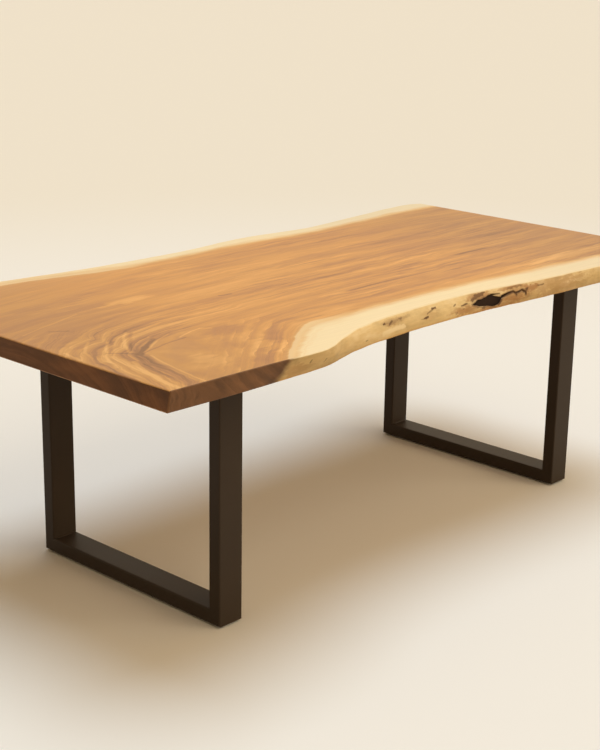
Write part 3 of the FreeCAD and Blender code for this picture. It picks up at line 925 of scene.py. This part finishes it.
def end_grain_wood(slab):
    """Saw-cut ends: dark, partly as end grain is and partly with painted shade, with growth rings that
    bow across the thickness.
    """
    material, wire = new_material("end_grain_wood")
    x, y, z = place(wire)
    blotch = noise((y, z, x), (7.0, 17.0, 1.0), 3.0)
    bow = length(y, z - PITH_HEIGHT)
    rings = noise((bow + blotch * RING_BEND, y, x), (60.0, 2.0, 1.0), 4.0, 0.6)
    pores = noise((y, z, x), (500.0, 500.0, 1.0), 1.0)
    # The ends' colour holds painted shade as well as the end grain's own darker tone
    brown = opaque(slab.end_grain_and_shade)
    tone = rings * 0.4 + blotch * 0.5 + pores * 0.1
    wood = ramp(tone, (0.36, shift(brown, 0.6)), (0.5, brown), (0.62, shift(brown, 1.6)))
    left = fade(x, HALF_LENGTH, -HALF_LENGTH)
    starts = []
    for line in (FRONT_SAPWOOD, BACK_SAPWOOD):
        left_start, right_start = line[0][1] * MM, line[-1][1] * MM
        starts.append(right_start + left * (left_start - right_start))
    inward = (y - starts[1]).calc("MAXIMUM", 0.0 - y - starts[0]) + (blotch - 0.5) * END_SAP_UNEVEN
    wood = blend(fade(inward, *END_SAP_ZONE), wood, shift(slab.live_edge, 0.8))
    rough = 0.55 + pores * 0.1
    return surface(wire, material, wood, rough, pores, PORE_DEPTH, Specular_IOR_Level=OILED_SHEEN)


# Painted sheen that makes the resin paler in its middle: the middle in millimetres along the table and
# above the underside, and its reach
RESIN_SHEEN_MIDDLE = (172, 24)
RESIN_SHEEN_REACH = (75, 20)
RESIN_SHEEN_BEND = 1.2
RESIN_DEPTH = 0.4 * MM


def resin_gloss(resin):
    """Dark cast resin, faintly clouded, with a painted sheen that makes it paler in its middle."""
    material, wire = new_material("void_resin")
    here = place(wire)
    x, y, z = here
    cloud = noise(here, (60.0, 60.0, 90.0), 3.0)
    # Painted sheen: paler in the middle, darker towards the outline
    middle = spot(x, z - SLAB_BASE, RESIN_SHEEN_MIDDLE, RESIN_SHEEN_REACH, (cloud - 0.5) * RESIN_SHEEN_BEND)
    colour = blend(middle, shift(resin.colour, 0.5), shift(resin.colour, 1.6))
    rough = 0.42 + cloud * 0.2
    return surface(wire, material, colour, rough, cloud, RESIN_DEPTH, Specular_IOR_Level=0.08)


PEEL_DEPTH = 0.06 * MM


def powder_coat(frames):
    """Satin powder coat on steel: the fine orange peel of cured powder, and a slow drift of tone."""
    material, wire = new_material("frame_powder_coat")
    here = place(wire)
    peel = even_noise(here, 700.0)
    drift = even_noise(here, 6.0, 3.0)
    colour = blend(drift, shift(frames.coat, 0.85), shift(frames.coat, 1.15))
    rough = 0.4 + drift * 0.12
    return surface(wire, material, colour, rough, peel, PEEL_DEPTH, Specular_IOR_Level=0.12)


TURNING_DEPTH = 0.05 * MM


def plated_metal(name, metal):
    """Plated or cast metal with fine turning marks and dulled patches."""
    material, wire = new_material(name)
    here = place(wire)
    marks = noise(here, (150.0, 150.0, 2500.0))
    dull = even_noise(here, 90.0, 3.0)
    colour = blend(dull, shift(metal, 0.8), shift(metal, 1.1))
    return surface(wire, material, colour, 0.26 + dull * 0.24, marks, TURNING_DEPTH, Metallic=1.0)


SCUFF_HEIGHT = 4.0 * MM
MOULDED_DEPTH = 0.08 * MM


def foot_plastic(hardware):
    """Moulded plastic of the feet, scuffed towards the floor."""
    material, wire = new_material("foot_plastic")
    here = place(wire)
    grain = even_noise(here, 900.0)
    scuff = fade(here[2], SCUFF_HEIGHT, 0.0) * noise(here, (220.0, 220.0, 60.0), 3.0)
    colour = blend(scuff, opaque(hardware.plastic), shift(hardware.plastic, 2.6))
    return surface(wire, material, colour, 0.5 + grain * 0.15, grain, MOULDED_DEPTH)


def seen_directly(wire):
    """One for rays of the camera, of reflections and through clear things, nought for stray light."""
    kinds = ("Is Camera Ray", "Is Glossy Ray", "Is Transmission Ray")
    return most([wire.node("ShaderNodeLightPath", {}, {}, kind) for kind in kinds])


# Where the floor turns to backdrop, in metres from the table's middle
BACKDROP_ZONE = (2.0, 6.0)


def floor_finish(stage):
    """Pale studio floor: seen as it is by camera and reflections, and dimmer where it bounces light."""
    material, wire = new_material("studio_floor")
    x, y = place(wire)[:2]
    colour = blend(fade(length(x, y), *BACKDROP_ZONE), opaque(stage.floor), opaque(stage.backdrop))
    seen = wire.node("ShaderNodeBsdfDiffuse", {}, {"Color": colour})
    bounce = wire.node("ShaderNodeBsdfDiffuse", {}, {"Color": opaque(stage.bounce)})
    shader = wire.node("ShaderNodeMixShader", {}, {0: seen_directly(wire), 1: bounce, 2: seen})
    wire.node("ShaderNodeOutputMaterial", {}, {"Surface": shader})
    return material


# Settings


def size_prop(name, description, default):
    return bpy.props.FloatProperty(name=name, description=description, default=default, unit="LENGTH")


def colour_prop(name, description, default):
    return bpy.props.FloatVectorProperty(
        name=name, description=description, default=default, size=3, min=0.0, max=1.0, subtype="COLOR"
    )


def strength_prop(name, description, default):
    return bpy.props.FloatProperty(name=name, description=description, default=default, min=0.0)


class TableSlabSettings(bpy.types.PropertyGroup):
    """Shape and colours of the slab."""

    arris: size_prop("Arris", "Radius of the eased edges", 3.0 * MM)
    ripple: size_prop("Ripple", "Height of the live edges' natural ripples", 0.6 * MM)
    heart_dark: colour_prop("Dark heartwood", "Dark streaks of the heartwood", (0.50, 0.24, 0.092))
    heartwood: colour_prop("Heartwood", "Middle tone of the heartwood", (0.665, 0.334, 0.099))
    heart_light: colour_prop("Light heartwood", "Light wisps of the heartwood", (0.88, 0.49, 0.165))
    left_tint: colour_prop("Left tint", "Rosy tint towards the left end", (0.88, 0.92, 1.0))
    right_tint: colour_prop("Right tint", "Brown tint towards the right end", (0.80, 0.82, 0.9))
    sapwood: colour_prop("Sapwood", "Cream bands along the live edges", (0.93, 0.795, 0.51))
    sapwood_rim: colour_prop("Sapwood rim", "Where heartwood turns to sapwood", (0.82, 0.53, 0.21))
    live_edge: colour_prop("Live edge", "Natural outside of the tree", (0.84, 0.645, 0.325))
    live_edge_pale: colour_prop("Pale live edge", "Pale blotches of live edges", (0.95, 0.79, 0.49))
    edge_foot: colour_prop("Edge foot", "Tint of the live edges' lowest part", (1.0, 0.84, 0.62))
    sawn_side: colour_prop("Sawn side", "Sawn part of the front edge", (0.205, 0.108, 0.053))
    stain: colour_prop("Stain", "Tint round the bark void", (0.60, 0.44, 0.36))
    marks: colour_prop("Marks", "Dark marks of the front edge", (0.13, 0.066, 0.03))
    # Painted shade in the walls of the bark void and its cracks
    painted_hollow_shade: colour_prop("Hollows", "Walls of the bark void", (0.045, 0.024, 0.012))
    # Darker than the end grain is: it holds painted shade as well as the end grain's own tone
    end_grain_and_shade: colour_prop("End grain", "Saw-cut ends", (0.182, 0.087, 0.041))


class TableResinSettings(bpy.types.PropertyGroup):
    """The filled bark void."""

    depth: size_prop("Depth", "Depth of the bark void", 11.0 * MM)
    recess: size_prop("Recess", "How far the resin lies below the edge", 2.4 * MM)
    body: size_prop("Body", "Thickness of the resin", 7.0 * MM)
    colour: colour_prop("Colour", "Cast resin", (0.016, 0.0075, 0.0035))


class TableFrameSettings(bpy.types.PropertyGroup):
    """The steel frames."""

    coat: colour_prop("Coat", "Powder coat", (0.052, 0.039, 0.028))
    weld: size_prop("Weld", "Leg of the weld in an inner corner", 4.0 * MM)


class TableHardwareSettings(bpy.types.PropertyGroup):
    """Screws, inserts, nuts and feet."""

    steel: colour_prop("Steel", "Plated steel", (0.58, 0.57, 0.54))
    brass: colour_prop("Brass", "Threaded inserts", (0.72, 0.52, 0.24))
    plastic: colour_prop("Plastic", "Foot pads", (0.018, 0.017, 0.016))


class TableStageSettings(bpy.types.PropertyGroup):
    """Floor, lights and camera."""

    floor: colour_prop("Floor", "Floor round the table", (0.90, 0.93, 0.925))
    backdrop: colour_prop("Backdrop", "Floor far behind the table", (0.856, 0.843, 0.763))
    horizon: colour_prop("Horizon", "What lies beyond the floor", (0.877, 0.775, 0.61))
    bounce: colour_prop("Bounce", "Floor where it throws light back", (0.30, 0.22, 0.14))
    ambient: colour_prop("Ambient", "Light from all round", (0.315, 0.216, 0.119))
    side: strength_prop("Side", "Strength of the soft light from the right", 0.9)
    side_colour: colour_prop("Side colour", "Light from the right", (1.0, 0.68, 0.375))
    key: strength_prop("Key", "Strength of the soft light from above", 1.59)
    key_colour: colour_prop("Key colour", "Light from above", (0.74, 0.87, 0.985))
    fill: strength_prop("Fill", "Strength of the soft light from the front", 1.135)
    fill_colour: colour_prop("Fill colour", "Light from the front", (1.0, 0.82, 0.58))


# Operators


class TABLE_OT_slab(bpy.types.Operator):
    """Make the slab with its live edges, sawn ends and bark void"""

    bl_idname = "table.slab"
    bl_label = "Slab"

    FRONT_STEPS = 68
    BACK_STEPS = 20
    FACE_STEPS = 6
    ARRIS_STEPS = 6
    COARSE = 4.0 * MM
    FINE = 0.9 * MM
    FINE_FROM = 0.095
    FINE_TO = 0.36
    PLANED, LIVE, SAWN = range(3)

    def stations(self, arris):
        """Places along the slab, close together round the void, with quarter circles at both ends.

        The second answer is how far the section is drawn in at each."""
        turn = np.linspace(0, math.pi / 2, self.ARRIS_STEPS, endpoint=False)
        stops = (arris - HALF_LENGTH, self.FINE_FROM, self.FINE_TO, HALF_LENGTH - arris)
        runs = []
        for start, end, step in zip(stops, stops[1:], (self.COARSE, self.FINE, self.COARSE)):
            runs.append(np.linspace(start, end, round((end - start) / step), endpoint=False))
        rim = HALF_LENGTH - arris * (1 - np.cos(turn))
        inset = arris * (1 - np.sin(turn))
        along = np.concatenate([-rim, *runs, stops[-1:], rim[::-1]])
        plain = np.zeros(len(along) - 2 * len(turn))
        return along, np.concatenate([inset, plain, inset[::-1]])

    def side(self, points, along, steps, arris):
        """One live edge: heights crowded towards the arrises, which are quarter circles."""
        share = (1 - np.cos(np.linspace(0, math.pi, steps))) / 2
        up = share * SLAB_THICK
        over = np.maximum(up - (SLAB_THICK - arris), arris - up)
        over = np.clip(over, 0, arris)
        lost = arris - np.sqrt(arris**2 - over**2)
        return edge_surface(points, along, share) - lost, up

    def sections(self, front, front_up, back, back_up, inset):
        """Closed sections: up the front edge, across the top, down the back edge and under the slab.

        Towards the ends each point is drawn in at right angles to its section."""
        share = np.linspace(0, 1, self.FACE_STEPS + 2)[1:-1]
        top = -front[:, -1:] + (back[:, -1:] + front[:, -1:]) * share
        under = back[:, :1] - (back[:, :1] + front[:, :1]) * share
        across = np.concatenate([-front, top, back[:, ::-1], under], axis=1)
        top_up, under_up = np.full(len(share), SLAB_THICK), np.zeros(len(share))
        level = np.concatenate([front_up, top_up, back_up[::-1], under_up])
        up = np.broadcast_to(level, across.shape)
        run = np.roll(across, -1, axis=1) - np.roll(across, 1, axis=1)
        climb = np.roll(up, -1, axis=1) - np.roll(up, 1, axis=1)
        apart = np.hypot(run, climb)
        return across + inset[:, None] * climb / apart, up - inset[:, None] * run / apart

    def set_kinds(self, mesh, rings, count):
        """Planed, live or sawn wood for each face. The two sawn ends are flat."""
        strip = np.full(count, self.PLANED)
        back_start = self.FRONT_STEPS + self.FACE_STEPS
        strip[: self.FRONT_STEPS - 1] = self.LIVE
        strip[back_start : back_start + self.BACK_STEPS - 1] = self.LIVE
        kinds = np.concatenate([np.tile(strip, rings - 1), [self.SAWN, self.SAWN]])
        mesh.polygons.foreach_set("material_index", kinds.astype(np.int32))
        mesh.polygons.foreach_set("use_smooth", kinds != self.SAWN)

    def execute(self, context):
        slab = context.scene.table_slab
        resin = context.scene.table_resin
        along, inset = self.stations(slab.arris)
        station = along[:, None]
        front, front_up = self.side(FRONT_EDGE, along, self.FRONT_STEPS, slab.arris)
        back, back_up = self.side(BACK_EDGE, along, self.BACK_STEPS, slab.arris)
        live = smoothstep(SAWN_END, LIVE_START, station)
        eaten, rim = void_depth(station, front_up, resin.depth)
        front = front + live * slab.ripple * ripples(FRONT_SEEDS, station, front_up) - eaten
        back = back + slab.ripple * ripples(BACK_SEEDS, station, back_up)
        across, up = self.sections(front, front_up, back, back_up, inset)
        rings, count = across.shape
        points = np.stack([np.broadcast_to(station, across.shape), across, up + SLAB_BASE], axis=-1)
        materials = (planed_wood(slab), live_edge_wood(slab), end_grain_wood(slab))
        faces = sweep_faces(rings, count)
        piece = add_piece(
            "live_edge_slab", points, faces, materials, "table", ("slab_top",)
        )
        self.set_kinds(piece.data, rings, count)
        front_start = follow(FRONT_SAPWOOD, along)[0][:, None]
        back_start = follow(BACK_SAPWOOD, along)[0][:, None]
        inward = np.maximum(-across - front_start, across - back_start)
        others = ((0, 0), (0, count - self.FRONT_STEPS))
        # The void's depth as a share, which paints shade into its walls and cracks
        hollow, void_rim = np.pad(eaten / resin.depth, others), np.pad(rim, others)
        for name, values in (("sapwood", inward), ("hollow", hollow), ("void_rim", void_rim)):
            attribute = piece.data.attributes.new(name, "FLOAT", "POINT")
            attribute.data.foreach_set("value", values.ravel().astype(np.float32))
        return {"FINISHED"}


class TABLE_OT_resin(bpy.types.Operator):
    """Fill the bark void with dark resin"""

    bl_idname = "table.resin"
    bl_label = "Resin fill"

    STATIONS = 90
    STEPS = 12
    END_ROOM = 1.0 * MM

    def execute(self, context):
        """A section of the void's height, its front parallel to the edge, carried along the void."""
        resin = context.scene.table_resin
        along = np.linspace(VOID_START + self.END_ROOM, VOID_END - self.END_ROOM, self.STATIONS)
        roof = read_outline(VOID_ROOF, along)[:, None]
        floor = read_outline(VOID_FLOOR, along)[:, None]
        up = floor + (roof - floor) * np.linspace(0, 1, self.STEPS)
        face = edge_surface(FRONT_EDGE, along, up / SLAB_THICK) - resin.recess
        across = np.concatenate([-face, resin.body - face[:, ::-1]], axis=1)
        height = np.concatenate([up, up[:, ::-1]], axis=1) + SLAB_BASE
        station = np.broadcast_to(along[:, None], across.shape)
        points = np.stack([station, across, height], axis=-1)
        faces = sweep_faces(self.STATIONS, 2 * self.STEPS)
        materials = (resin_gloss(resin),)
        add_piece("void_resin", points, faces, materials, "table", ("resin_fill",))
        return {"FINISHED"}


def paint(material, *nodes):
    """Give CAD nodes a finish."""
    for name in nodes:
        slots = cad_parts[name].material_slots
        if not slots:
            raise RuntimeError(f"{name} has no material slot")
        for slot in slots:
            slot.material = material


class TABLE_OT_frames(bpy.types.Operator):
    """Coat the tubes and plates, and run welds into their inner corners"""

    bl_idname = "table.frames"
    bl_label = "Steel frames"

    STATIONS = 60
    STEPS = 8
    CORNER_ROOM = 6.0 * MM
    TAPER = 3
    END_SHARE = 0.35
    RIPPLE = 0.06
    RIPPLE_LENGTH = 2.6 * MM
    HOLLOW = 0.18
    SUNK = 0.5 * MM

    def bead(self, name, post, corner, inward, upward, leg, coat):
        """Weld: a quarter round in an inner corner, rippled along it and drawn down at its ends."""
        low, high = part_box(post)
        along = np.linspace(low.x + self.CORNER_ROOM, high.x - self.CORNER_ROOM, self.STATIONS)
        from_end = np.minimum(along - along[0], along[-1] - along)
        size = self.END_SHARE + (1 - self.END_SHARE) * smoothstep(0, self.TAPER * leg, from_end)
        size = leg * size * (1 + self.RIPPLE * np.sin(2 * math.pi * along / self.RIPPLE_LENGTH))
        angle = np.linspace(0, math.pi / 2, self.STEPS)
        reach = size[:, None] * (1 - self.HOLLOW * np.sin(2 * angle))
        sunk = np.full((self.STATIONS, 1), -self.SUNK)
        across = np.concatenate([reach * np.cos(angle), sunk], axis=1)
        up = np.concatenate([reach * np.sin(angle), sunk], axis=1)
        station = np.broadcast_to(along[:, None], across.shape)
        points = np.stack([station, corner[0] + inward * across, corner[1] + upward * up], axis=-1)
        faces = sweep_faces(self.STATIONS, self.STEPS + 1)
        if inward * upward > 0:
            faces = [face[::-1] for face in faces]
        add_piece(name, points, faces, (coat,), "table")

    def execute(self, context):
        frames = context.scene.table_frames
        coat = powder_coat(frames)
        for end in ENDS:
            rail, plate = f"{end}_foot_rail", f"{end}_top_plate"
            posts = [f"{end}_{side}_post" for side in SIDES]
            paint(coat, rail, plate, *posts)
            rail_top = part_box(rail)[1].z
            plate_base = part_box(plate)[0].z
            for side, post, inward in zip(SIDES, posts, (1, -1)):
                low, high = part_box(post)
                inner = high.y if side == "front" else low.y
                for place_name, level, upward in (("floor", rail_top, 1), ("plate", plate_base, -1)):
                    name = f"{end}_{side}_{place_name}_weld"
                    self.bead(name, post, (inner, level), inward, upward, frames.weld, coat)
        return {"FINISHED"}


class TABLE_OT_hardware(bpy.types.Operator):
    """Finish the screws, inserts, nuts and levelling feet"""

    bl_idname = "table.hardware"
    bl_label = "Hardware and feet"

    def execute(self, context):
        hardware = context.scene.table_hardware
        steel = plated_metal("plated_steel", hardware.steel)
        brass = plated_metal("insert_brass", hardware.brass)
        plastic = foot_plastic(hardware)
        for end in ENDS:
            paint(steel, f"{end}_plate_screws", f"{end}_foot_nuts")
            paint(brass, f"{end}_threaded_inserts")
            for side in SIDES:
                paint(steel, f"{end}_{side}_foot_stud")
                paint(plastic, f"{end}_{side}_foot_pad")
        return {"FINISHED"}


class TABLE_OT_stage(bpy.types.Operator):
    """Set the floor, the lights and the camera"""

    bl_idname = "table.stage"
    bl_label = "Stage"

    FLOOR_HALF = 60.0
    FLOOR_GAP = 0.2 * MM
    VIEW_DEPTH = 240.0
    KEY_ANGLE = math.radians(38)
    FILL_ANGLE = math.radians(70)
    SIDE_ANGLE = math.radians(100)
    KEY_LEAN = (math.radians(-5), math.radians(10))
    FILL_LEAN = (math.radians(62), math.radians(14))
    SIDE_LEAN = (math.radians(12), math.radians(55))
    CAMERA_PLACE = (-3.2026, -2.9431, 1.7422)
    CAMERA_YAW = 0.731821
    CAMERA_PITCH = -0.291131
    CAMERA_ROLL = 0.024390
    FOCAL_PIXELS = 1519.75
    IMAGE_SIZE = (600, 750)
    OPTICAL_CENTRE = 340
    SENSOR = 36.0

    def floor(self, stage):
        half = self.FLOOR_HALF
        corners = np.array([(-half, -half), (half, -half), (half, half), (-half, half)])
        points = np.column_stack([corners, np.full(4, -self.FLOOR_GAP)])
        mesh = bpy.data.meshes.new("floor")
        mesh.from_pydata(points.tolist(), [], [(0, 1, 2, 3)])
        mesh.materials.append(floor_finish(stage))
        piece = bpy.data.objects.new("floor", mesh)
        bpy.context.scene.collection.objects.link(piece)

    def sun(self, name, strength, colour, angle, lean):
        light = bpy.data.lights.new(name, "SUN")
        light.energy = strength
        light.color = colour
        light.angle = angle
        lamp = bpy.data.objects.new(name, light)
        lamp.rotation_euler = (lean[0], lean[1], 0.0)
        bpy.context.scene.collection.objects.link(lamp)

    def sky(self, scene, stage):
        """Even light from all round, which the camera and reflections see as the backdrop."""
        world = bpy.data.worlds.new("studio")
        world.use_nodes = True
        world.node_tree.nodes.clear()
        wire = Wire(world.node_tree)
        colour = blend(seen_directly(wire), opaque(stage.ambient), opaque(stage.horizon))
        background = wire.node("ShaderNodeBackground", {}, {"Color": colour})
        wire.node("ShaderNodeOutputWorld", {}, {"Surface": background})
        scene.world = world

    def camera(self, scene):
        """Camera of a pinhole with a yaw, pitch and roll, a focal length in pixels and a side shift."""
        yaw, pitch, roll = self.CAMERA_YAW, self.CAMERA_PITCH, self.CAMERA_ROLL
        level = math.cos(pitch)
        ahead = np.array([level * math.cos(yaw), level * math.sin(yaw), math.sin(pitch)])
        right = np.array([math.sin(yaw), -math.cos(yaw), 0.0])
        upward = np.cross(right, ahead)
        turned = math.cos(roll) * right + math.sin(roll) * upward
        raised = math.cos(roll) * upward - math.sin(roll) * right
        pose = np.eye(4)
        pose[:3] = np.column_stack([turned, raised, -ahead, self.CAMERA_PLACE])
        lens = bpy.data.cameras.new("camera")
        long_side = max(self.IMAGE_SIZE)
        lens.sensor_width = self.SENSOR
        lens.lens = self.FOCAL_PIXELS / long_side * self.SENSOR
        lens.shift_x = (self.IMAGE_SIZE[0] / 2 - self.OPTICAL_CENTRE) / long_side
        lens.clip_end = self.VIEW_DEPTH
        camera = bpy.data.objects.new("camera", lens)
        camera.matrix_world = pose.T
        scene.collection.objects.link(camera)
        scene.camera = camera

    def execute(self, context):
        scene = context.scene
        stage = scene.table_stage
        self.floor(stage)
        self.sky(scene, stage)
        self.sun("key", stage.key, stage.key_colour, self.KEY_ANGLE, self.KEY_LEAN)
        self.sun("fill", stage.fill, stage.fill_colour, self.FILL_ANGLE, self.FILL_LEAN)
        self.sun("side", stage.side, stage.side_colour, self.SIDE_ANGLE, self.SIDE_LEAN)
        self.camera(scene)
        scene.view_settings.view_transform = "Standard"
        return {"FINISHED"}


class TABLE_PT_dressing(bpy.types.Panel):
    """Sidebar panel with the table's settings and the steps that dress it"""

    bl_label = "Live Edge Table"
    bl_idname = "TABLE_PT_dressing"
    bl_space_type = "VIEW_3D"
    bl_region_type = "UI"
    bl_category = "Table"

    def draw(self, context):
        for attribute, group, operator in STEPS:
            box = self.layout.box()
            for name in group.__annotations__:
                box.prop(getattr(context.scene, attribute), name)
            box.operator(operator.bl_idname)


STEPS = (
    ("table_slab", TableSlabSettings, TABLE_OT_slab),
    ("table_resin", TableResinSettings, TABLE_OT_resin),
    ("table_frames", TableFrameSettings, TABLE_OT_frames),
    ("table_hardware", TableHardwareSettings, TABLE_OT_hardware),
    ("table_stage", TableStageSettings, TABLE_OT_stage),
)


def register():
    for attribute, group, operator in STEPS:
        bpy.utils.register_class(group)
        setattr(bpy.types.Scene, attribute, bpy.props.PointerProperty(type=group))
        bpy.utils.register_class(operator)
    bpy.utils.register_class(TABLE_PT_dressing)


def unregister():
    bpy.utils.unregister_class(TABLE_PT_dressing)
    for attribute, group, operator in reversed(STEPS):
        bpy.utils.unregister_class(operator)
        delattr(bpy.types.Scene, attribute)
        bpy.utils.unregister_class(group)


def main():
    register()
    bpy.ops.table.slab()
    bpy.ops.table.resin()
    bpy.ops.table.frames()
    bpy.ops.table.hardware()
    bpy.ops.table.stage()


if __name__ == "__main__":
    main()
